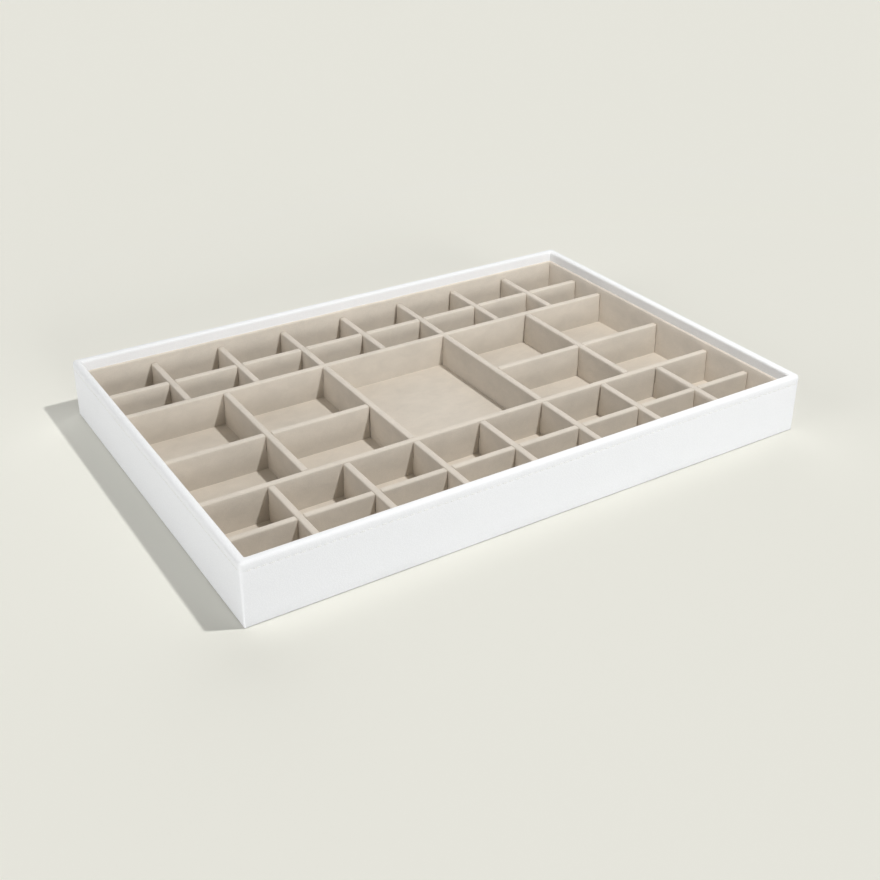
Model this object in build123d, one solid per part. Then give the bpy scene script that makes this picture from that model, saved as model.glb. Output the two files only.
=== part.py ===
from build123d import *
import os

# Jewelry tray: a low board box wrapped in leatherette, lined with velvet and divided by a velvet grid.
# Millimetres. X runs along the tray, Y from its front to its back, Z up.
# The origin is the centre of the underside.

# Outside of the tray
tray_length = 385.0
tray_depth = 260.0
tray_height = 39.5
corner_radius = 2.5
rim_radius = 2.0
foot_radius = 0.4

# Leatherette skin, and the hem that turns under the base
leather_thickness = 0.8
hem_width = 12.0

# Boards of the box
wall_board_thickness = 3.4
base_board_thickness = 2.3

# Felt sheet under the base: its border is pressed thin over the hem
cover_border_thickness = 0.3
cover_margin = 3.0

# Stitch line below the rim, and the groove that the thread pulls into the leatherette
stitch_drop = 5.5
stitch_width = 0.6
stitch_depth = 0.3
groove_clearance = 0.1

# Lining
velvet_thickness = 0.7
liner_card_thickness = 0.8
liner_height = 27.0
liner_top_radius = 0.6
fit_clearance = 0.2

# Divider grid
divider_thickness = 4.3
divider_height = 22.3
divider_top_radius = 1.0
divider_end_radius = 1.2
divider_end_gap = 0.4
lap_clearance = 0.15
column_count = 8

# Clear depth of each of the six rows, from the back to the front, as shares of all the clear depth
row_depth_shares = (0.133, 0.113, 0.262, 0.208, 0.150, 0.134)

# How far a cutting block runs past what it cuts
overrun = 1.0

# Levels, from the bottom up
hem_bottom = cover_border_thickness
base_bottom = hem_bottom + leather_thickness
base_top = base_bottom + base_board_thickness
floor_top = base_top + liner_card_thickness + velvet_thickness
board_top = tray_height - leather_thickness

# Plan sizes
wall_thickness = wall_board_thickness + 2 * leather_thickness
inside_length = tray_length - 2 * wall_thickness
inside_depth = tray_depth - 2 * wall_thickness
board_length = tray_length - 2 * leather_thickness
board_depth = tray_depth - 2 * leather_thickness
liner_thickness = liner_card_thickness + velvet_thickness
grid_length = inside_length - 2 * liner_thickness
grid_depth = inside_depth - 2 * liner_thickness

os.makedirs("parts", exist_ok=True)


def write(shape, node):
    """Writes one piece of the tray as its own file."""
    export_step(shape, f"parts/{node}.step")


def slab(length, depth, height, x=0, y=0, bottom=0):
    """A straight block, centred on x and y, standing on the level called bottom."""
    return Pos(x, y, bottom) * Box(length, depth, height, align=(Align.CENTER, Align.CENTER, Align.MIN))


def rounded_slab(length, depth, height, radius, bottom):
    """A block whose upright edges are rounded."""
    block = slab(length, depth, height, bottom=bottom)
    return fillet(block.edges().filter_by(Axis.Z), radius)


def top_edges(solid):
    """The edges round the highest face of a solid."""
    return solid.faces().sort_by(Axis.Z)[-1].edges()


# Base board and the four mitred wall boards that stand on it
board_corner_radius = corner_radius - leather_thickness
board_rim_radius = rim_radius - leather_thickness
inner_board_length = board_length - 2 * wall_board_thickness
inner_board_depth = board_depth - 2 * wall_board_thickness

base_board = rounded_slab(board_length, board_depth, base_board_thickness, board_corner_radius, base_bottom)
write(base_board, "base_board")

board_height = board_top - base_top
board_frame = rounded_slab(board_length, board_depth, board_height, board_corner_radius, base_top)
board_frame -= slab(inner_board_length, inner_board_depth, board_height + overrun, bottom=base_top)
board_frame = fillet(top_edges(board_frame), board_rim_radius)


def mitre_wedge(length, depth):
    """The part of the plan that belongs to the wall on the minus Y side of a frame of this size."""
    reach = wall_board_thickness + overrun
    outer = length / 2 + overrun
    inner = outer - reach - overrun
    front = -depth / 2 - overrun
    outline = Polyline((-outer, front), (outer, front), (inner, front + reach + overrun),
                       (-inner, front + reach + overrun), close=True)
    return Pos(0, 0, base_top) * extrude(make_face(outline), board_height)


long_wedge = mitre_wedge(board_length, board_depth)
short_wedge = Rot(0, 0, -90) * mitre_wedge(board_depth, board_length)
write(board_frame & long_wedge, "wall_board_front")
write(board_frame & Rot(0, 0, 180) * long_wedge, "wall_board_back")
write(board_frame & short_wedge, "wall_board_left")
write(board_frame & Rot(0, 0, 180) * short_wedge, "wall_board_right")

# Leatherette skin: outside, rim, inside and the hem under the base, with the groove of the stitch line
wrap_height = tray_height - hem_bottom
wrap = rounded_slab(tray_length, tray_depth, wrap_height, corner_radius, hem_bottom)
wrap -= slab(inside_length, inside_depth, wrap_height, bottom=base_top)
wrap = fillet(top_edges(wrap), rim_radius)
wrap = fillet(wrap.faces().sort_by(Axis.Z)[0].edges(), foot_radius)
hem_opening_length = board_length - 2 * hem_width
hem_opening_depth = board_depth - 2 * hem_width
wrap -= slab(hem_opening_length, hem_opening_depth, leather_thickness, bottom=hem_bottom)
wrap -= base_board + board_frame

# Thread, one straight run on each outer face, lying in its groove
stitch_level = tray_height - stitch_drop - stitch_width / 2
groove_width = stitch_width + 2 * groove_clearance
stitch_runs = []
for face_offset, run_length, turn in (
    (tray_depth / 2, tray_length - 2 * corner_radius, 0),
    (tray_length / 2, tray_depth - 2 * corner_radius, 90),
):
    for side in (-1, 1):
        place = side * (face_offset - stitch_depth / 2)
        thread = slab(run_length - 2 * groove_clearance, stitch_depth, stitch_width, y=place, bottom=stitch_level)
        groove = slab(run_length, stitch_depth, groove_width, y=place, bottom=stitch_level - groove_clearance)
        stitch_runs.append(Rot(0, 0, turn) * thread)
        wrap -= Rot(0, 0, turn) * groove
write(wrap, "leatherette_wrap")
write(Compound(children=stitch_runs), "rim_stitching")

# Felt sheet under the base
cover_length = tray_length - 2 * cover_margin
cover_depth = tray_depth - 2 * cover_margin
cover_middle_length = hem_opening_length - 2 * fit_clearance
cover_middle_depth = hem_opening_depth - 2 * fit_clearance
cover = rounded_slab(cover_length, cover_depth, cover_border_thickness, corner_radius, 0)
cover += slab(cover_middle_length, cover_middle_depth, leather_thickness, bottom=cover_border_thickness)
write(cover, "underside_cover")

# Floor of the tray: a card covered with velvet, in one sheet under the whole grid
floor_length = inside_length - 2 * fit_clearance
floor_depth = inside_depth - 2 * fit_clearance
write(slab(floor_length, floor_depth, liner_card_thickness, bottom=base_top), "floor_card")
floor_velvet = slab(floor_length, floor_depth, velvet_thickness, bottom=base_top + liner_card_thickness)
write(floor_velvet, "floor_velvet")


def liner_panel(length):
    """Card and velvet of a lining panel along X, with its back on the plane y = 0 and its velvet at minus Y."""
    card_height = liner_height - velvet_thickness
    card_y = -liner_card_thickness / 2
    card = slab(length, liner_card_thickness, card_height, y=card_y, bottom=floor_top)
    panel = slab(length, liner_thickness, liner_height, y=-liner_thickness / 2, bottom=floor_top)
    front_top_edge = top_edges(panel).sort_by(Axis.Y)[0]
    return card, fillet(front_top_edge, liner_top_radius) - card


# Lining panels: the front and back ones run the full length, the side ones fit between them
long_panel_length = inside_length - 2 * fit_clearance
short_panel_length = grid_depth - 2 * fit_clearance
for wall, panel_length, wall_offset, turn in (
    ("back", long_panel_length, inside_depth / 2, 0),
    ("left", short_panel_length, inside_length / 2, 90),
    ("front", long_panel_length, inside_depth / 2, 180),
    ("right", short_panel_length, inside_length / 2, 270),
):
    card, velvet = liner_panel(panel_length)
    placing = Rot(0, 0, turn) * Pos(0, wall_offset, 0)
    write(placing * card, f"liner_card_{wall}")
    write(placing * velvet, f"liner_velvet_{wall}")

# Places of the grid lines: rows counted from the back, columns from the left
column_clear = (grid_length - (column_count - 1) * divider_thickness) / column_count
column_pitch = column_clear + divider_thickness
row_count = len(row_depth_shares)
clear_depth = grid_depth - (row_count - 1) * divider_thickness
row_places = []
row_edge = grid_depth / 2
for share in row_depth_shares[:-1]:
    row_edge -= share * clear_depth
    row_places.append(row_edge - divider_thickness / 2)
    row_edge -= divider_thickness
row_1, row_2, row_3, row_4, row_5 = row_places


def column_place(column):
    """X of the grid line that many columns from the left wall, which may be between two columns."""
    return (column - column_count / 2) * column_pitch


def divider(start, end, laps):
    """
    Card and velvet cover of a divider that runs along X from start to end on the line y = 0.
    Each lap is the place of a crossing divider and the side, top or bottom, that is slotted there.
    """
    length = end - start
    middle = (start + end) / 2
    cover = slab(length, divider_thickness, divider_height, x=middle, bottom=floor_top)
    cover = fillet(cover.edges().filter_by(Axis.Z), divider_end_radius)
    cover = fillet(top_edges(cover), divider_top_radius)
    card_length = length - 2 * velvet_thickness
    card_thickness = divider_thickness - 2 * velvet_thickness
    card = slab(card_length, card_thickness, divider_height - velvet_thickness, x=middle, bottom=floor_top)
    cover -= card
    slot_width = divider_thickness + 2 * lap_clearance
    slot_height = divider_height / 2 + overrun
    for place, side in laps:
        slot_bottom = floor_top + divider_height / 2 if side == "top" else floor_top - overrun
        slot = slab(slot_width, divider_thickness, slot_height, x=place, bottom=slot_bottom)
        cover -= slot
        card -= slot
    return card, cover


def write_row(name, y, start, end, laps):
    """A divider along X at this y."""
    card, cover = divider(start, end, laps)
    write(Pos(0, y, 0) * card, f"{name}_card")
    write(Pos(0, y, 0) * cover, f"{name}_velvet")


def write_column(name, x, start, end, laps):
    """A divider along Y at this x; a quarter turn takes the divider's own X to the tray's Y."""
    placing = Pos(x, 0, 0) * Rot(0, 0, 90)
    card, cover = divider(start, end, laps)
    write(placing * card, f"{name}_card")
    write(placing * cover, f"{name}_velvet")


# Where a divider stops short of a wall or of another divider
stop = divider_thickness / 2 + divider_end_gap
left_end = -grid_length / 2 + divider_end_gap
right_end = grid_length / 2 - divider_end_gap
front_end = -grid_depth / 2 + divider_end_gap
back_end = grid_depth / 2 - divider_end_gap

# The two columns at the sides of the large centre compartment run the full depth
centre_columns = (3, 5)
short_columns = [column for column in range(1, column_count) if column not in centre_columns]
all_crossings = [column_place(column) for column in range(1, column_count)]
centre_crossings = [column_place(column) for column in centre_columns]

# Full length rows: 1 and 5 carry the columns in slots in their tops, 2 and 4 run over the centre columns
write_row("row_divider_1", row_1, left_end, right_end, [(x, "top") for x in all_crossings])
write_row("row_divider_2", row_2, left_end, right_end, [(x, "bottom") for x in centre_crossings])
write_row("row_divider_4", row_4, left_end, right_end, [(x, "bottom") for x in centre_crossings])
write_row("row_divider_5", row_5, left_end, right_end, [(x, "top") for x in all_crossings])

# Short rows left and right of the centre compartment, each crossed by one middle column
middle_left = column_place(1.5)
middle_right = column_place(6.5)
centre_left, centre_right = centre_crossings
write_row("row_divider_3_left", row_3, left_end, centre_left - stop, [(middle_left, "top")])
write_row("row_divider_3_right", row_3, centre_right + stop, right_end, [(middle_right, "top")])
write_column("middle_divider_left", middle_left, row_4 + stop, row_2 - stop, [(row_3, "bottom")])
write_column("middle_divider_right", middle_right, row_4 + stop, row_2 - stop, [(row_3, "bottom")])

# Short columns in the back and front zones
for column in short_columns:
    x = column_place(column)
    write_column(f"column_divider_{column}_back", x, row_2 + stop, back_end, [(row_1, "bottom")])
    write_column(f"column_divider_{column}_front", x, front_end, row_4 - stop, [(row_5, "bottom")])

# Full depth columns
full_depth_laps = [(row_1, "bottom"), (row_2, "top"), (row_4, "top"), (row_5, "bottom")]
for column in centre_columns:
    write_column(f"column_divider_{column}", column_place(column), front_end, back_end, full_depth_laps)
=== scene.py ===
import math

import bmesh
import bpy
from mathutils import Matrix, Quaternion, Vector, noise


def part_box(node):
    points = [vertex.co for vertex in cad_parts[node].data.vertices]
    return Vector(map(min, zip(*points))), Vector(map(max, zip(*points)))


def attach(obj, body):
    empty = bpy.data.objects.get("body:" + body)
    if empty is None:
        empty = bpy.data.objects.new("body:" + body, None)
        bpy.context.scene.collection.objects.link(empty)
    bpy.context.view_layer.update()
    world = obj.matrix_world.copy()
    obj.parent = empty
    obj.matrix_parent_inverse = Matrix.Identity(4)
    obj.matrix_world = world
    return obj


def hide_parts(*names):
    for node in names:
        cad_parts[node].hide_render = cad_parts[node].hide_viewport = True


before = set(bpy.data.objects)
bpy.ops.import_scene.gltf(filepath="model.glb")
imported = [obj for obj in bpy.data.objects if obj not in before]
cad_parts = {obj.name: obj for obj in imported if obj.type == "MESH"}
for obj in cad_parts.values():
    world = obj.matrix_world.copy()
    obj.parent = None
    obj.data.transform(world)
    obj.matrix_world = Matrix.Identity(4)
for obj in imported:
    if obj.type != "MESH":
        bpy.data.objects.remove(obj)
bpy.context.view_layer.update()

scene = bpy.context.scene

# Camera
# It looks down on the tray from its front left through a slightly long lens, is turned by a little over
# half a degree, and its picture is the part of a larger one that lies a little below the middle.
camera_data = bpy.data.cameras.new("camera")
camera_data.sensor_width = 36
camera_data.lens = 48.903
camera_data.shift_y = -0.03
camera = bpy.data.objects.new("camera", camera_data)
scene.collection.objects.link(camera)
scene.camera = camera
azimuth, elevation, roll = (math.radians(angle) for angle in (-32.797, 28.754, 0.637))
backwards = Vector((
    math.sin(azimuth) * math.cos(elevation),
    -math.cos(azimuth) * math.cos(elevation),
    math.sin(elevation),
))
camera.location = (-0.3655, -0.57501, 0.37986)
camera.rotation_mode = "QUATERNION"
camera.rotation_quaternion = backwards.to_track_quat("Z", "Y") @ Quaternion((0, 0, 1), roll)

# Table and light
# A pale matt tabletop. One small lamp over the front of the tray throws its clear shadows. Soft low lamps in
# front and at the left light the outer walls, a higher one at the left reaches into the compartments, and
# one behind lifts what faces up.
TABLE_COLOUR = "#E5E4DB"
TABLE_GLOW = "#E3E3E1"  # of the light that the table throws back on the tray
LAMP_PLACE = Vector((0.145, -0.28, 0.76))
LAMP_POWER = 15.4
LAMP_RADIUS = 0.02
ROOM_STRENGTH = 0.18
SOFT_LAMPS = {  # bearing and height that it shines from, its width in the sky, and its strength
    "soft_lamp_front": (0, 7, 25, 0.42),
    "soft_lamp_left_low": (-90, 0.2, 0.4, 0.28),
    "soft_lamp_left_high": (-90, 22, 30, 0.19),
    "soft_lamp_back": (148, 28, 50, 0.27),
}
SHADE_SHARE = 0.94  # how much of the table's brightness follows the light on it


def linear(hex_colour):
    """An sRGB hex colour as the linear colour that a shader takes."""
    shares = [int(hex_colour[place:place + 2], 16) / 255 for place in (1, 3, 5)]
    return [s / 12.92 if s <= 0.04045 else ((s + 0.055) / 1.055) ** 2.4 for s in shares] + [1]


def add_node(tree, kind, values=None, links=None, **settings):
    """A node with its settings, the values of its sockets, and the outputs that its sockets are linked to."""
    node = tree.nodes.new(kind)
    for name, value in settings.items():
        setattr(node, name, value)
    for socket, value in (values or {}).items():
        node.inputs[socket].default_value = value
    for socket, output in (links or {}).items():
        tree.links.new(output, node.inputs[socket])
    return node


def seen_ray(tree):
    """1 for the rays that show the table or the room: to the camera, by a reflection or through glass."""
    path = add_node(tree, "ShaderNodeLightPath")
    either = add_node(tree, "ShaderNodeMath", operation="MAXIMUM", links={
        0: path.outputs["Is Camera Ray"], 1: path.outputs["Is Glossy Ray"]})
    return add_node(tree, "ShaderNodeMath", operation="MAXIMUM", links={
        0: either.outputs[0], 1: path.outputs["Is Transmission Ray"]}).outputs[0]


lamp_data = bpy.data.lights.new("lamp", "POINT")
lamp_data.energy = LAMP_POWER
lamp_data.shadow_soft_size = LAMP_RADIUS
lamp = bpy.data.objects.new("lamp", lamp_data)
lamp.location = LAMP_PLACE
scene.collection.objects.link(lamp)
soft_light = ROOM_STRENGTH
for name, (bearing, height, width, strength) in SOFT_LAMPS.items():
    soft_data = bpy.data.lights.new(name, "SUN")
    soft_data.energy = strength * math.pi
    soft_data.angle = math.radians(width)
    soft = bpy.data.objects.new(name, soft_data)
    soft.rotation_euler = (math.radians(90 - height), 0, math.radians(bearing))
    scene.collection.objects.link(soft)
    soft_light += strength * math.sin(math.radians(height))

scene.world = bpy.data.worlds.new("pale_room")
scene.world.use_nodes = True
tree = scene.world.node_tree
tree.nodes.clear()
lit = add_node(tree, "ShaderNodeBackground", {"Color": (1, 1, 1, 1), "Strength": ROOM_STRENGTH})
shown = add_node(tree, "ShaderNodeBackground", {"Color": linear(TABLE_COLOUR), "Strength": 1})
either = add_node(tree, "ShaderNodeMixShader", links={
    0: seen_ray(tree), 1: lit.outputs[0], 2: shown.outputs[0]})
add_node(tree, "ShaderNodeOutputWorld", links={"Surface": either.outputs[0]})

# Matt painted board: a flat pale tone. The lamp's pool of light is evened out by the distance from it,
# so that only the tray's shadow shows on it.
table_material = bpy.data.materials.new("matt_painted_board")
table_material.use_nodes = True
tree = table_material.node_tree
tree.nodes.clear()
place = add_node(tree, "ShaderNodeTexCoord")
distance = add_node(tree, "ShaderNodeVectorMath", {1: LAMP_PLACE}, {0: place.outputs["Object"]},
                    operation="DISTANCE")
nearness = add_node(tree, "ShaderNodeMath", {0: LAMP_PLACE.z}, {1: distance.outputs["Value"]},
                    operation="DIVIDE")
falloff = add_node(tree, "ShaderNodeMath", {1: 3}, {0: nearness.outputs[0]}, operation="POWER")
lamp_light = LAMP_POWER / (4 * math.pi ** 2 * LAMP_PLACE.z ** 2)
light = add_node(tree, "ShaderNodeMath", {1: lamp_light, 2: soft_light}, {0: falloff.outputs[0]},
                 operation="MULTIPLY_ADD")
evening = add_node(tree, "ShaderNodeMath", {0: SHADE_SHARE}, {1: light.outputs[0]}, operation="DIVIDE")
shade = add_node(tree, "ShaderNodeVectorMath", {0: linear(TABLE_COLOUR)[:3]}, {"Scale": evening.outputs[0]},
                 operation="SCALE")
shaded = add_node(tree, "ShaderNodeBsdfDiffuse", links={"Color": shade.outputs[0]})
even = add_node(tree, "ShaderNodeEmission", {"Color": linear(TABLE_COLOUR), "Strength": 1 - SHADE_SHARE})
shown = add_node(tree, "ShaderNodeAddShader", links={0: shaded.outputs[0], 1: even.outputs[0]})
plain = add_node(tree, "ShaderNodeBsdfDiffuse", {"Color": linear(TABLE_GLOW)})
either = add_node(tree, "ShaderNodeMixShader", links={
    0: seen_ray(tree), 1: plain.outputs[0], 2: shown.outputs[0]})
add_node(tree, "ShaderNodeOutputMaterial", links={"Surface": either.outputs[0]})

bm = bmesh.new()
bmesh.ops.create_grid(bm, x_segments=1, y_segments=1, size=6)
table_mesh = bpy.data.meshes.new("tabletop")
bm.to_mesh(table_mesh)
bm.free()
table_mesh.materials.append(table_material)
tabletop = bpy.data.objects.new("tabletop", table_mesh)
scene.collection.objects.link(tabletop)
scene.view_settings.view_transform = "Standard"

# Base board and wall boards
# The stiff box under the skin: a base board and four mitred wall boards, sawn from thin fibreboard and
# glued. They are the CAD's own solids, hidden by the skin and the lining.
FIBREBOARD_COLOURS = ("#B79A73", "#9C7F5B")
FIBRE_SIZE = 0.0012
FIBRE_DEPTH = 0.0001


def new_material(name):
    """A material with that name, its node tree and its main shader."""
    material = bpy.data.materials.new(name)
    material.use_nodes = True
    return material, material.node_tree, material.node_tree.nodes["Principled BSDF"]


def paint_node(name, material):
    """Gives a CAD node this material."""
    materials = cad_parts[name].data.materials
    materials.clear()
    materials.append(material)


# Raw medium-density fibreboard: pressed wood fibre, matt, with small darker flecks.
fibreboard, tree, shader = new_material("raw_fibreboard")
place = add_node(tree, "ShaderNodeTexCoord")
flecks = add_node(tree, "ShaderNodeTexNoise", {"Scale": 1 / FIBRE_SIZE, "Detail": 3},
                  {"Vector": place.outputs["Object"]})
tone = add_node(tree, "ShaderNodeMix", {6: linear(FIBREBOARD_COLOURS[0]), 7: linear(FIBREBOARD_COLOURS[1])},
                {0: flecks.outputs["Fac"]}, data_type="RGBA")
rough = add_node(tree, "ShaderNodeBump", {"Distance": FIBRE_DEPTH, "Strength": 0.4},
                 {"Height": flecks.outputs["Fac"]})
tree.links.new(tone.outputs[2], shader.inputs["Base Color"])
tree.links.new(rough.outputs[0], shader.inputs["Normal"])
shader.inputs["Roughness"].default_value = 0.85
for name in ("base_board", "wall_board_front", "wall_board_back", "wall_board_left", "wall_board_right"):
    paint_node(name, fibreboard)

# Leatherette wrap
# One white polyurethane leatherette skin glued over the boards: up the outside, over a soft rim, down the
# inside, and turned under the base as a hem. The stitch line pulls it in a few millimetres below the rim.
WALL_THICKNESS = 0.005
OUTER_CORNER_RADIUS = 0.0025
INNER_CORNER_RADIUS = 0.0005
CORNER_SEGMENTS = 6
FOOT_CORNER_SHARE = 0.4  # of the corner's radius that is left at the foot, where the skin is pulled tight
RIM_RADIUS = 0.002
RIM_SEGMENTS = 5
FOOT_RADIUS = 0.0004
FOOT_SEGMENTS = 3
HEM_WIDTH = 0.0128
SKIN_THICKNESS = 0.0007
STITCH_PITCH = 0.0042
SEAM_DEPTH = 0.00008
NEEDLE_HOLE_DEPTH = 0.00015
NEEDLE_HOLE_RADIUS = 0.0005
SEAM_HALF_WIDTH = 0.0008
BEAD_HEIGHT = 0.00005
BEAD_DIP_SHARE = 0.25  # of the bead's height that is lost above a needle hole
WALL_WAVE = 0.00006
WALL_WAVE_LENGTH = 0.05
CUT_STEP = 0.0014
LONG_EDGE = 0.05
WALL_CUT_SHARES = (0.2, 0.4, 0.6, 0.8)  # of the height from the foot to the seam
SEAM_CUT_STEPS = (-2.4, -1.5, -0.9, -0.5, -0.2, 0.2, 0.5, 0.9, 1.5, 2.4)  # in mm, up from the seam
MM = 0.001

wrap_low, wrap_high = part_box("leatherette_wrap")
seam_low, seam_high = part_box("rim_stitching")
seam_level = (seam_low.z + seam_high.z) / 2
rim_bottom = wrap_high.z - RIM_RADIUS
inner_low = Vector((wrap_low.x + WALL_THICKNESS, wrap_low.y + WALL_THICKNESS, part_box("base_board")[1].z))
inner_high = Vector((wrap_high.x - WALL_THICKNESS, wrap_high.y - WALL_THICKNESS, wrap_high.z - MM))
hem_low = Vector((wrap_low.x + HEM_WIDTH, wrap_low.y + HEM_WIDTH, wrap_low.z - 2 * MM))
hem_high = Vector((wrap_high.x - HEM_WIDTH, wrap_high.y - HEM_WIDTH, wrap_low.z - MM))


def box_placing(low, high):
    """The matrix that takes a cube of side 1 at the origin to the box between these corners."""
    return Matrix.Translation((low + high) / 2) @ Matrix.Diagonal((*(high - low), 1))


def upright_tube(bm, low, high, radius):
    """Four walls with rounded upright edges, open at the top and the bottom."""
    verts = bmesh.ops.create_cube(bm, size=1, matrix=box_placing(low, high))["verts"]
    faces = {face for vert in verts for face in vert.link_faces}
    for face in faces:
        face.normal_update()
    lids = [face for face in faces if abs(face.normal.z) > 0.5]
    bmesh.ops.delete(bm, geom=lids, context="FACES_ONLY")
    upright = {edge for vert in verts for edge in vert.link_edges
               if abs(edge.verts[0].co.z - edge.verts[1].co.z) > MM / 2}
    bmesh.ops.bevel(bm, geom=list(upright), offset=radius, segments=CORNER_SEGMENTS, profile=0.5,
                    affect="EDGES", material=-1)


def edges_on_level(bm, level):
    """The edges that lie on this level."""
    return [edge for edge in bm.edges if all(abs(vert.co.z - level) < MM / 100 for vert in edge.verts)]


def join_open_edges(bm, level, other_level):
    """Joins the open ends on two levels with a ring of faces, then brings the other level to the first."""
    other = edges_on_level(bm, other_level)
    bmesh.ops.bridge_loops(bm, edges=edges_on_level(bm, level) + other)
    for vert in {vert for edge in other for vert in edge.verts}:
        vert.co.z = level


def cut(bm, geometry, place, direction):
    """Cuts this geometry along a plane and keeps both sides."""
    bmesh.ops.bisect_plane(bm, geom=geometry, dist=MM / 1000, plane_co=place, plane_no=direction)


def finish_piece(bm, name, material, nodes, thickness=0.0, sharp_angle=math.radians(50)):
    """The mesh as a smooth piece that rides on the tray and stands for those CAD nodes."""
    for face in bm.faces:
        face.smooth = True
    for edge in bm.edges:
        edge.smooth = edge.calc_face_angle(math.pi) < sharp_angle
    mesh = bpy.data.meshes.new(name)
    bm.to_mesh(mesh)
    bm.free()
    mesh.materials.append(material)
    piece = bpy.data.objects.new(name, mesh)
    scene.collection.objects.link(piece)
    if thickness:
        solid = piece.modifiers.new("thickness", "SOLIDIFY")
        solid.thickness = thickness
        solid.offset = -1
        solid.use_even_offset = True
    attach(piece, "root")
    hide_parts(*nodes)
    return piece


def along_wall(point, normal):
    """How far a point of the outer wall is from the wall's middle, and the length of its stitched run."""
    if abs(normal.x) > abs(normal.y):
        return point.y, wrap_high.y - wrap_low.y - 2 * OUTER_CORNER_RADIUS
    return point.x, wrap_high.x - wrap_low.x - 2 * OUTER_CORNER_RADIUS


def stitch_places(run):
    """The number of stitches in a run, and their pitch."""
    count = round(run / STITCH_PITCH)
    return count, run / count


bm = bmesh.new()
upright_tube(bm, hem_low, hem_high, INNER_CORNER_RADIUS)
bmesh.ops.delete(bm, geom=[vert for vert in bm.verts if vert.co.z < hem_low.z + MM / 2], context="VERTS")
upright_tube(bm, wrap_low, wrap_high, OUTER_CORNER_RADIUS)
upright_tube(bm, inner_low, inner_high, INNER_CORNER_RADIUS)
join_open_edges(bm, wrap_low.z, hem_high.z)
join_open_edges(bm, wrap_high.z, inner_high.z)
bmesh.ops.recalc_face_normals(bm, faces=bm.faces)
rim_edges = [edge for edge in edges_on_level(bm, wrap_high.z)
             if any(face.normal.z < 0.5 for face in edge.link_faces)]
bmesh.ops.bevel(bm, geom=rim_edges, offset=RIM_RADIUS, segments=RIM_SEGMENTS, profile=0.5, affect="EDGES",
                material=-1)
foot_edges = [edge for edge in edges_on_level(bm, wrap_low.z)
              if len(edge.link_faces) == 2 and any(face.normal.z > -0.5 for face in edge.link_faces)]
bmesh.ops.bevel(bm, geom=foot_edges, offset=FOOT_RADIUS, segments=FOOT_SEGMENTS, profile=0.5, affect="EDGES",
                material=-1)
wall_levels = [wrap_low.z + share * (seam_level - wrap_low.z) for share in WALL_CUT_SHARES]
seam_levels = [seam_level + step * MM for step in SEAM_CUT_STEPS]
for level in wall_levels + [level for level in seam_levels if level < rim_bottom]:
    outer = [face for face in bm.faces if abs(face.normal.z) < 0.5 and
             (abs(face.calc_center_median().x) > inner_high.x + MM or
              abs(face.calc_center_median().y) > inner_high.y + MM)]
    geometry = {part for face in outer for part in (face, *face.edges, *face.verts)}
    cut(bm, list(geometry), (0, 0, level), (0, 0, 1))
for axis in (0, 1):
    long_edges = [edge for edge in bm.edges
                  if abs(edge.verts[0].co[axis] - edge.verts[1].co[axis]) > LONG_EDGE]
    cuts = round(max(edge.calc_length() for edge in long_edges) / CUT_STEP)
    bmesh.ops.subdivide_edges(bm, edges=long_edges, cuts=cuts)
corner_centre = Vector((wrap_high.x - OUTER_CORNER_RADIUS, wrap_high.y - OUTER_CORNER_RADIUS))
for vert in bm.verts:
    past = Vector((abs(vert.co.x), abs(vert.co.y))) - corner_centre
    if min(past) < -MM / 1000:
        continue
    rise = min(max((vert.co.z - wrap_low.z) / (rim_bottom - wrap_low.z), 0), 1)
    share = FOOT_CORNER_SHARE + (1 - FOOT_CORNER_SHARE) * rise
    for axis in (0, 1):
        moved = corner_centre[axis] + OUTER_CORNER_RADIUS * (1 - share) + past[axis] * share
        vert.co[axis] = math.copysign(moved, vert.co[axis])
bm.normal_update()
moves = []
for vert in bm.verts:
    outside = abs(vert.co.x) > inner_high.x + MM or abs(vert.co.y) > inner_high.y + MM
    if not outside or abs(vert.normal.z) > 0.3:
        continue
    height = vert.co.z - seam_level
    along, run = along_wall(vert.co, vert.normal)
    count, pitch = stitch_places(run)
    from_hole = abs((along + run / 2 + pitch / 2) % pitch - pitch / 2)
    hole = math.exp(-(from_hole / NEEDLE_HOLE_RADIUS) ** 2) if abs(along) < run / 2 + pitch / 2 else 0
    move = -(SEAM_DEPTH + NEEDLE_HOLE_DEPTH * hole) * math.exp(-(height / SEAM_HALF_WIDTH) ** 2)
    bead = min(max(height / (rim_bottom - seam_level), 0), 1)
    move += BEAD_HEIGHT * math.sin(math.pi * bead) * (1 - BEAD_DIP_SHARE * hole)
    move += WALL_WAVE * noise.noise(vert.co / WALL_WAVE_LENGTH) * (height < 0)
    moves.append((vert, vert.normal * move))
for vert, move in moves:
    vert.co += move

# Polyurethane leatherette: white, satin, embossed with a fine pebble grain that breaks up its sheen.
LEATHERETTE_COLOURS = ("#F5F6F7", "#E9EAEB")
GRAIN_SIZE = 0.0007
GRAIN_DEPTH = 0.00005
leatherette, tree, shader = new_material("white_polyurethane_leatherette")
place = add_node(tree, "ShaderNodeTexCoord")
grain = add_node(tree, "ShaderNodeTexVoronoi", {"Scale": 1 / GRAIN_SIZE, "Smoothness": 0.4},
                 {"Vector": place.outputs["Object"]}, feature="SMOOTH_F1")
cells = add_node(tree, "ShaderNodeMapRange", {1: 0.1, 2: 0.65, 3: 0, 4: 1}, {0: grain.outputs["Distance"]},
                 interpolation_type="SMOOTHSTEP")
cloud = add_node(tree, "ShaderNodeTexNoise", {"Scale": 30, "Detail": 2}, {"Vector": place.outputs["Object"]})
valley = add_node(tree, "ShaderNodeMath", {1: 0.35}, {0: cells.outputs[0]}, operation="MULTIPLY")
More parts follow.
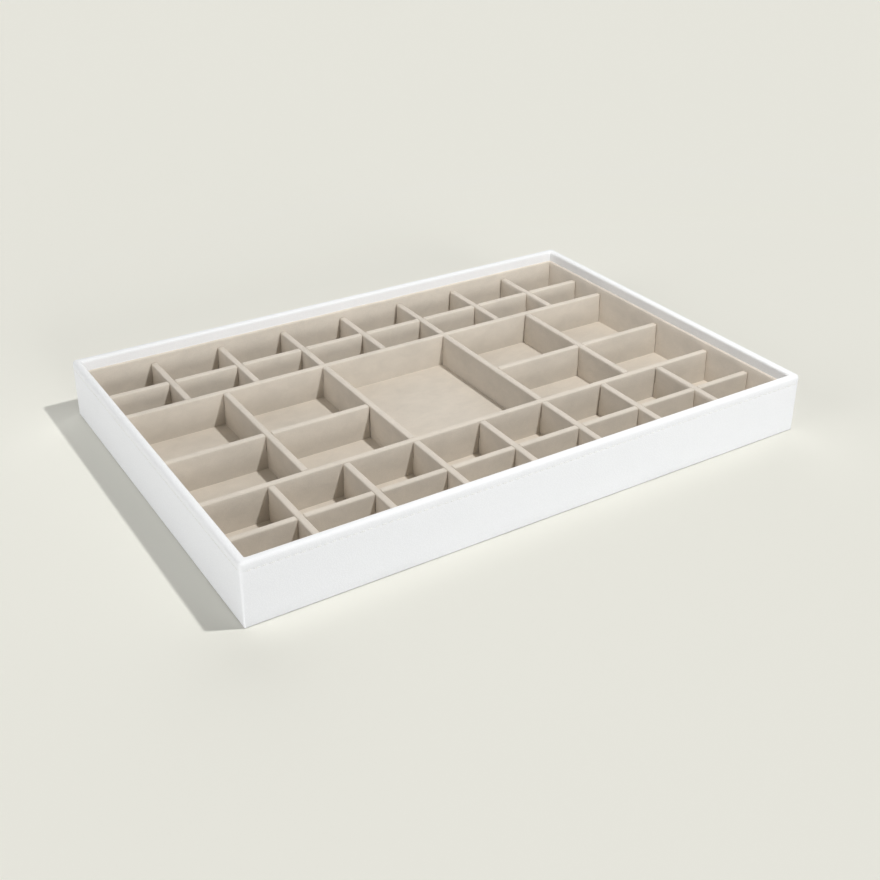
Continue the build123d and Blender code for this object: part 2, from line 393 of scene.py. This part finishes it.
depth = add_node(tree, "ShaderNodeMath", {1: 0.25, 2: 0}, {0: cloud.outputs["Fac"], 2: valley.outputs[0]},
                 operation="MULTIPLY_ADD")
tone = add_node(tree, "ShaderNodeMix", {6: linear(LEATHERETTE_COLOURS[0]), 7: linear(LEATHERETTE_COLOURS[1])},
                {0: depth.outputs[0]}, data_type="RGBA")
satin = add_node(tree, "ShaderNodeMapRange", {1: 0, 2: 1, 3: 0.42, 4: 0.52}, {0: cells.outputs[0]})
height = add_node(tree, "ShaderNodeMath", {0: 1}, {1: cells.outputs[0]}, operation="SUBTRACT")
pebbles = add_node(tree, "ShaderNodeBump", {"Distance": GRAIN_DEPTH, "Strength": 0.6},
                   {"Height": height.outputs[0]})
tree.links.new(tone.outputs[2], shader.inputs["Base Color"])
tree.links.new(satin.outputs[0], shader.inputs["Roughness"])
tree.links.new(pebbles.outputs[0], shader.inputs["Normal"])
shader.inputs["IOR"].default_value = 1.46
finish_piece(bm, "leatherette_skin", leatherette, ["leatherette_wrap"],
             thickness=SKIN_THICKNESS)

# Rim stitching
# One line of white polyester thread round the four outer walls, in short, slightly uneven stitches. They
# lie in the groove that they have pulled into the leatherette, and stand a little proud of the wall.
STITCH_LENGTH = 0.0035
THREAD_THICKNESS = 0.00055
STITCH_PROUD = 0.00011
STITCH_UNEVENNESS = 0.35  # of how far a stitch stands proud
STITCH_TILT = math.radians(4)

bm = bmesh.new()
for turn in range(4):
    turning = Matrix.Rotation(turn * math.pi / 2, 4, "Z")
    wall = wrap_high.y if turn % 2 == 0 else wrap_high.x
    reach = wrap_high.x if turn % 2 == 0 else wrap_high.y
    run = 2 * (reach - OUTER_CORNER_RADIUS)
    count, pitch = stitch_places(run)
    for number in range(count):
        along = -run / 2 + (number + 0.5) * pitch
        chance = Vector((along / STITCH_LENGTH, turn * math.e, 0))
        proud = STITCH_PROUD * (1 + STITCH_UNEVENNESS * noise.noise(chance))
        surface = -wall + THREAD_THICKNESS / 2 - proud
        tilt = Matrix.Rotation(STITCH_TILT * noise.noise(chance * math.pi), 4, "Y")
        placing = Matrix.Translation((along, surface, seam_level)) @ tilt
        shape = Matrix.Diagonal((STITCH_LENGTH / 2, THREAD_THICKNESS / 2, THREAD_THICKNESS / 2, 1))
        lying = Matrix.Rotation(math.pi / 2, 4, "Y")
        bmesh.ops.create_uvsphere(bm, u_segments=7, v_segments=6, radius=1,
                                  matrix=turning @ placing @ shape @ lying)

# Polyester sewing thread: white, slightly glossy, its two strands twisted.
THREAD_COLOURS = ("#F4F4F1", "#DEDDD8")
TWIST_PITCH = 0.0006
TWIST_DEPTH = 0.00008
thread, tree, shader = new_material("white_polyester_thread")
place = add_node(tree, "ShaderNodeTexCoord")
twist = add_node(tree, "ShaderNodeTexWave", {"Scale": 0.314 / TWIST_PITCH, "Distortion": 0.5},
                 {"Vector": place.outputs["Object"]}, bands_direction="DIAGONAL")
tone = add_node(tree, "ShaderNodeMix", {6: linear(THREAD_COLOURS[1]), 7: linear(THREAD_COLOURS[0])},
                {0: twist.outputs["Fac"]}, data_type="RGBA")
strands = add_node(tree, "ShaderNodeBump", {"Distance": TWIST_DEPTH, "Strength": 0.5},
                   {"Height": twist.outputs["Fac"]})
tree.links.new(tone.outputs[2], shader.inputs["Base Color"])
tree.links.new(strands.outputs[0], shader.inputs["Normal"])
shader.inputs["Roughness"].default_value = 0.55
finish_piece(bm, "rim_stitches", thread, ["rim_stitching"])

# Underside cover
# A thin sheet of beige felt glued under the base. It steps over the edge of the turned hem, so that its
# border, which the tray stands on, is a little lower than its middle.
FELT_THICKNESS = 0.00027
FELT_STEP = 0.0004
FELT_CELL = 0.004
FELT_WAVE = 0.00004
FELT_WAVE_LENGTH = 0.012

cover_low, cover_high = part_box("underside_cover")
bm = bmesh.new()
cover_size = cover_high - cover_low
bmesh.ops.create_grid(bm, x_segments=round(cover_size.x / FELT_CELL),
                      y_segments=round(cover_size.y / FELT_CELL), size=0.5,
                      matrix=Matrix.Diagonal((cover_size.x, cover_size.y, 1, 1)))
corners = [vert for vert in bm.verts if len(vert.link_edges) == 2]
bmesh.ops.bevel(bm, geom=corners, offset=OUTER_CORNER_RADIUS, segments=3, profile=0.5, affect="VERTICES",
                material=-1)
bmesh.ops.recalc_face_normals(bm, faces=bm.faces)
if sum(face.normal.z for face in bm.faces) > 0:
    bmesh.ops.reverse_faces(bm, faces=bm.faces)
for vert in bm.verts:
    from_hem = min(hem_high.x - abs(vert.co.x), hem_high.y - abs(vert.co.y))
    inwards = min(max(from_hem / FELT_CELL, 0), 1)
    vert.co.z = FELT_STEP * (3 - 2 * inwards) * inwards ** 2
    vert.co.z += FELT_WAVE * (1 + noise.noise(vert.co / FELT_WAVE_LENGTH))

# Wool-blend felt: beige, matt, a tangle of short fibres.
FELT_COLOURS = ("#C9BEAC", "#B4A894")
FELT_FIBRE = 0.0006
FELT_FUZZ_DEPTH = 0.0002
felt, tree, shader = new_material("beige_pressed_felt")
place = add_node(tree, "ShaderNodeTexCoord")
fibres = add_node(tree, "ShaderNodeTexNoise", {"Scale": 1 / FELT_FIBRE, "Detail": 4, "Distortion": 1.5},
                  {"Vector": place.outputs["Object"]})
tone = add_node(tree, "ShaderNodeMix", {6: linear(FELT_COLOURS[0]), 7: linear(FELT_COLOURS[1])},
                {0: fibres.outputs["Fac"]}, data_type="RGBA")
fuzz = add_node(tree, "ShaderNodeBump", {"Distance": FELT_FUZZ_DEPTH, "Strength": 0.6},
                {"Height": fibres.outputs["Fac"]})
tree.links.new(tone.outputs[2], shader.inputs["Base Color"])
tree.links.new(fuzz.outputs[0], shader.inputs["Normal"])
shader.inputs["Roughness"].default_value = 0.95
shader.inputs["Sheen Weight"].default_value = 0.2
underside = finish_piece(bm, "underside_felt", felt, ["underside_cover"], thickness=FELT_THICKNESS)

# Cards
# Grey board cards stiffen the floor, the lining panels and the dividers. They are the CAD's own solids,
# hidden inside the velvet and seen only at its cut edges.
CARD_COLOURS = ("#9B9790", "#85817A")
CARD_FLECK = 0.0009
CARD_DEPTH = 0.00008

# Recycled grey board: dull grey paper pulp with fine specks.
grey_board, tree, shader = new_material("recycled_grey_board")
place = add_node(tree, "ShaderNodeTexCoord")
specks = add_node(tree, "ShaderNodeTexNoise", {"Scale": 1 / CARD_FLECK, "Detail": 4},
                  {"Vector": place.outputs["Object"]})
tone = add_node(tree, "ShaderNodeMix", {6: linear(CARD_COLOURS[0]), 7: linear(CARD_COLOURS[1])},
                {0: specks.outputs["Fac"]}, data_type="RGBA")
pulp = add_node(tree, "ShaderNodeBump", {"Distance": CARD_DEPTH, "Strength": 0.3},
                {"Height": specks.outputs["Fac"]})
tree.links.new(tone.outputs[2], shader.inputs["Base Color"])
tree.links.new(pulp.outputs[0], shader.inputs["Normal"])
shader.inputs["Roughness"].default_value = 0.9
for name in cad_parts:
    if name.endswith("_card") or name.startswith("liner_card"):
        paint_node(name, grey_board)

# Floor velvet
# One sheet of short-pile beige velvet glued over the floor card, under the whole grid of dividers.
VELVET_THICKNESS = 0.00065
VELVET_ALONG = ("#D9D0C3", "#C9C1B5")
# The same velvet, painted paler for the pieces that run across: painted light on their side faces.
VELVET_ACROSS_PAINTED_LIGHTER = ("#E1D7CA", "#D0C8BC")
# Painted light: the share by which the colour is brightened where the velvet faces up.
PAINTED_TOP_LIGHT_ALONG = 0.14
PAINTED_TOP_LIGHT_ACROSS = 0.0
PILE_SIZE = 0.00045
NAP_WIDTH = 0.008
NAP_LENGTH = 0.013
PATCH_SIZE = 0.05
PILE_LEAN = 0.3
PILE_DEPTH = 0.00015
NAP_DEPTH = 0.0008


def velvet_material(name, colours, painted_up_light, nap_size):
    """Short-pile velvet of these colours, nap in streaks, painted light making what faces up a share
    brighter.
    """
    velvet, tree, shader = new_material(name)
    place = add_node(tree, "ShaderNodeTexCoord")
    pile = add_node(tree, "ShaderNodeTexNoise", {"Scale": 1 / PILE_SIZE, "Detail": 2},
                    {"Vector": place.outputs["Object"]})
    laid = add_node(tree, "ShaderNodeMapping", {"Scale": [1 / size for size in nap_size]},
                    {"Vector": place.outputs["Object"]})
    nap = add_node(tree, "ShaderNodeTexNoise", {"Scale": 1, "Detail": 3, "Roughness": 0.6, "Distortion": 0.4},
                   {"Vector": laid.outputs[0]})
    patches = add_node(tree, "ShaderNodeTexNoise", {"Scale": 1 / PATCH_SIZE, "Detail": 1},
                       {"Vector": place.outputs["Object"]})
    pile_share = add_node(tree, "ShaderNodeMath", {1: 0.35}, {0: pile.outputs["Fac"]}, operation="MULTIPLY")
    nap_share = add_node(tree, "ShaderNodeMath", {1: 0.4}, {0: nap.outputs["Fac"], 2: pile_share.outputs[0]},
                         operation="MULTIPLY_ADD")
    share = add_node(tree, "ShaderNodeMath", {1: 0.25}, {0: patches.outputs["Fac"], 2: nap_share.outputs[0]},
                     operation="MULTIPLY_ADD")
    spread = add_node(tree, "ShaderNodeMapRange", {1: 0.34, 2: 0.66, 3: 0, 4: 1}, {0: share.outputs[0]})
    tone = add_node(tree, "ShaderNodeMix", {6: linear(colours[0]), 7: linear(colours[1])},
                    {0: spread.outputs[0]}, data_type="RGBA")
    surface = add_node(tree, "ShaderNodeNewGeometry")
    facing = add_node(tree, "ShaderNodeSeparateXYZ", links={0: surface.outputs["Normal"]})
    # Painted light: the colour is brightened by that share where the surface faces up.
    painted_up_scale = add_node(tree, "ShaderNodeMapRange", {1: 0.2, 2: 0.8, 3: 1, 4: 1 + painted_up_light},
                       {0: facing.outputs["Z"]})
    painted_up_tone = add_node(tree, "ShaderNodeVectorMath", links={0: tone.outputs[2], "Scale": painted_up_scale.outputs[0]},
                      operation="SCALE")
    raised = add_node(tree, "ShaderNodeVectorMath", {1: (0, 0, PILE_LEAN)}, {0: surface.outputs["Normal"]})
    leaning = add_node(tree, "ShaderNodeVectorMath", links={0: raised.outputs[0]}, operation="NORMALIZE")
    tufts = add_node(tree, "ShaderNodeBump", {"Distance": PILE_DEPTH, "Strength": 0.5},
                     {"Height": pile.outputs["Fac"], "Normal": leaning.outputs[0]})
    brushed = add_node(tree, "ShaderNodeBump", {"Distance": NAP_DEPTH, "Strength": 0.3},
                       {"Height": nap.outputs["Fac"], "Normal": tufts.outputs[0]})
    tree.links.new(painted_up_tone.outputs[0], shader.inputs["Base Color"])
    tree.links.new(brushed.outputs[0], shader.inputs["Normal"])
    shader.inputs["Roughness"].default_value = 0.9
    shader.inputs["Specular IOR Level"].default_value = 0.15
    shader.inputs["Sheen Weight"].default_value = 1.0
    shader.inputs["Sheen Roughness"].default_value = 0.4
    shader.inputs["Sheen Tint"].default_value = linear("#E9E1D5")
    return velvet


# Nylon velvet, brushed upwards on upright faces: matt, a soft light bloom where it is seen at a low angle, a
# pile that leans up and catches the lamp, painted light that brightens what faces up, and faint streaks and
# patches.
velvet_along_painted_tops = velvet_material("beige_velvet_brushed_along_painted_bright_tops", VELVET_ALONG, PAINTED_TOP_LIGHT_ALONG,
                               (NAP_LENGTH, NAP_WIDTH, NAP_WIDTH))
# The pieces that run across get the paler copy: painted light on their side faces.
velvet_across_painted_pale = velvet_material("beige_velvet_brushed_across_painted_pale", VELVET_ACROSS_PAINTED_LIGHTER, PAINTED_TOP_LIGHT_ACROSS,
                                (NAP_WIDTH, NAP_LENGTH, NAP_WIDTH))

FLOOR_CELL = 0.004
FLOOR_WAVE = 0.00005
FLOOR_WAVE_LENGTH = 0.015

floor_low, floor_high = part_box("floor_velvet")
floor_size = floor_high - floor_low
bm = bmesh.new()
bmesh.ops.create_grid(bm, x_segments=round(floor_size.x / FLOOR_CELL),
                      y_segments=round(floor_size.y / FLOOR_CELL), size=0.5,
                      matrix=Matrix.Diagonal((floor_size.x, floor_size.y, 1, 1)))
bmesh.ops.recalc_face_normals(bm, faces=bm.faces)
if sum(face.normal.z for face in bm.faces) < 0:
    bmesh.ops.reverse_faces(bm, faces=bm.faces)
for vert in bm.verts:
    vert.co.z = floor_high.z + FLOOR_WAVE * noise.noise(vert.co / FLOOR_WAVE_LENGTH)
floor_velvet = finish_piece(bm, "velvet_floor", velvet_along_painted_tops, ["floor_velvet"],
                            thickness=VELVET_THICKNESS)

# Lining panels
# Four cards covered with velvet stand against the inside of the walls and end below the rim. The velvet is
# folded over each card's top edge, which makes it soft and slightly uneven.
LINER_TOP_RADIUS = 0.0011
LINER_END_RADIUS = 0.0004
LINER_CELL = 0.004
FOLD_WAVE = 0.00022
FOLD_WAVE_LENGTH = 0.028
FOLD_REACH = 0.002
LINER_WAVE = 0.00005
LINER_WAVE_LENGTH = 0.012


def cut_in_steps(bm, axis, step):
    """Cuts the whole mesh across this axis, in equal steps of about that size."""
    low = min(vert.co[axis] for vert in bm.verts)
    high = max(vert.co[axis] for vert in bm.verts)
    count = max(1, round((high - low) / step))
    direction = Vector([float(axis == other) for other in range(3)])
    for number in range(1, count):
        geometry = bm.verts[:] + bm.edges[:] + bm.faces[:]
        cut(bm, geometry, direction * (low + (high - low) * number / count), direction)


for wall, turn in (("front", 180), ("back", 0), ("left", 90), ("right", -90)):
    low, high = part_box(f"liner_velvet_{wall}")
    turning = Matrix.Rotation(math.radians(turn), 4, "Z")
    corners = [turning.inverted() @ corner for corner in (low, high)]
    low = Vector([min(pair) for pair in zip(*corners)])
    high = Vector([max(pair) for pair in zip(*corners)])
    bm = bmesh.new()
    bmesh.ops.create_cube(bm, size=1, matrix=box_placing(low, high))
    bm.normal_update()
    hidden = [face for face in bm.faces if face.normal.y > 0.5 or face.normal.z < -0.5]
    bmesh.ops.delete(bm, geom=hidden, context="FACES")
    top_edge = [edge for edge in bm.edges if all(
        vert.co.z > high.z - MM / 100 and vert.co.y < low.y + MM / 100 for vert in edge.verts)]
    bmesh.ops.bevel(bm, geom=top_edge, offset=LINER_TOP_RADIUS, segments=4, profile=0.5, affect="EDGES",
                    material=-1)
    cut_in_steps(bm, 0, LINER_CELL)
    cut_in_steps(bm, 2, LINER_CELL)
    bm.normal_update()
    for vert in bm.verts:
        if vert.co.z > high.z - FOLD_REACH:
            vert.co.z += FOLD_WAVE * noise.noise(Vector((vert.co.x / FOLD_WAVE_LENGTH, turn, 0)))
        elif vert.co.y < low.y + MM / 100:
            vert.co.y += LINER_WAVE * noise.noise(vert.co / LINER_WAVE_LENGTH)
    bmesh.ops.transform(bm, matrix=turning, verts=bm.verts)
    velvet = velvet_along_painted_tops if wall in ("front", "back") else velvet_across_painted_pale
    name = f"velvet_lining_{wall}"
    lining = finish_piece(bm, name, velvet, [f"liner_velvet_{wall}"], thickness=VELVET_THICKNESS)
    length, fold, height = high - low

# Dividers
# Each divider is a card folded into velvet, with a soft rounded top. Half of each height is slotted where two
# cross: rows 1, 3 and 5 from above, rows 2 and 4 from below. All stand glued on the floor velvet.
DIVIDER_TOP_RADIUS = 0.001
DIVIDER_TOP_SEGMENTS = 4
DIVIDER_END_RADIUS = 0.0009
DIVIDER_END_SEGMENTS = 3
SLOT_WIDTH = 0.0044
DIVIDER_CELL = 0.003
FOOT_REACH = 0.0001
DIVIDER_WAVE = 0.00007
DIVIDER_WAVE_LENGTH = 0.009
ROWS_SLOTTED_ABOVE = ("row_divider_1", "row_divider_3_left", "row_divider_3_right", "row_divider_5")

covers = sorted(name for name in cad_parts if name.endswith("_velvet") and "divider" in name)
rows = [name for name in covers if name.startswith("row")]
columns = [name for name in covers if not name.startswith("row")]


def crossing(row, column):
    """Where a row and a column cross, as x and y, or nothing where they don't."""
    row_low, row_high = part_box(row)
    column_low, column_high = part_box(column)
    if row_low.x < column_low.x and row_high.x > column_high.x and \
            column_low.y < row_low.y and column_high.y > row_high.y:
        return (column_low.x + column_high.x) / 2, (row_low.y + row_high.y) / 2
    return None


for name in covers:
    row = name in rows
    low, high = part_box(name)
    turning = Matrix.Identity(4) if row else Matrix.Rotation(math.pi / 2, 4, "Z")
    corners = [turning.inverted() @ corner for corner in (low, high)]
    low = Vector([min(pair) for pair in zip(*corners)])
    high = Vector([max(pair) for pair in zip(*corners)])
    low.z -= FOOT_REACH
    slots = []
    for other in (columns if row else rows):
        met = crossing(name, other) if row else crossing(other, name)
        if met:
            row_name = (name if row else other).removesuffix("_velvet")
            slots.append((met[0] if row else met[1], (row_name in ROWS_SLOTTED_ABOVE) == row))
    middle = (low.z + FOOT_REACH + high.z) / 2
    bm = bmesh.new()
    standing = Matrix.Rotation(math.pi / 2, 4, "X")
    side = box_placing(Vector((low.x, low.y - 0.5, low.z)), Vector((high.x, low.y + 0.5, high.z)))
    bmesh.ops.create_grid(bm, x_segments=1, y_segments=1, size=0.5, matrix=side @ standing)
    for place, above in slots:
        for edge in (place - SLOT_WIDTH / 2, place + SLOT_WIDTH / 2):
            cut(bm, bm.verts[:] + bm.edges[:] + bm.faces[:], (edge, 0, 0), (1, 0, 0))
    if slots:
        cut(bm, bm.verts[:] + bm.edges[:] + bm.faces[:], (0, 0, middle), (0, 0, 1))
    slot_cells = []
    for face in bm.faces:
        centre = face.calc_center_median()
        if any(abs(centre.x - place) < SLOT_WIDTH / 2 and (centre.z > middle) == above
               for place, above in slots):
            slot_cells.append(face)
    bmesh.ops.delete(bm, geom=slot_cells, context="FACES")
    far_side = bmesh.ops.extrude_face_region(bm, geom=bm.faces[:])["geom"]
    far_verts = [part for part in far_side if isinstance(part, bmesh.types.BMVert)]
    bmesh.ops.translate(bm, verts=far_verts, vec=(0, high.y - low.y, 0))
    bmesh.ops.recalc_face_normals(bm, faces=bm.faces)
    top_edges = [edge for edge in bm.edges if all(vert.co.z > high.z - MM / 100 for vert in edge.verts)
                 and abs(edge.verts[0].co.x - edge.verts[1].co.x) > MM]
    bmesh.ops.bevel(bm, geom=top_edges, offset=DIVIDER_TOP_RADIUS, segments=DIVIDER_TOP_SEGMENTS, profile=0.5,
                    affect="EDGES", material=-1)
    bm.normal_update()
    end_faces = [face for face in bm.faces if abs(face.normal.x) > 0.99 and
                 max(vert.co.z for vert in face.verts) > high.z - MM / 100]
    end_edges = [edge for face in end_faces for edge in face.edges
                 if abs(edge.calc_face_angle()) > 0.5 and edge.calc_length() < high.z - low.z + MM
                 and (abs(edge.verts[0].co.z - edge.verts[1].co.z) > MM / 100
                      or edge.verts[0].co.z > middle + MM)]
    bmesh.ops.bevel(bm, geom=end_edges, offset=DIVIDER_END_RADIUS, segments=DIVIDER_END_SEGMENTS, profile=0.5,
                    affect="EDGES", material=-1)
    cut_in_steps(bm, 0, DIVIDER_CELL)
    cut_in_steps(bm, 2, DIVIDER_CELL)
    bm.normal_update()
    foot = [face for face in bm.faces
            if face.normal.z < -0.9 and face.calc_center_median().z < low.z + MM / 100]
    bmesh.ops.delete(bm, geom=foot, context="FACES")
    for vert in bm.verts:
        sample = vert.co / DIVIDER_WAVE_LENGTH + Vector((0, 0, low.y))
        vert.co += vert.normal * DIVIDER_WAVE * noise.noise(sample)
    bmesh.ops.transform(bm, matrix=turning, verts=bm.verts)
    cover = name.removesuffix("_velvet")
    velvet = velvet_along_painted_tops if row else velvet_across_painted_pale
    piece = finish_piece(bm, f"velvet_{cover}", velvet, [name], thickness=VELVET_THICKNESS)
    length, width, height = high - low
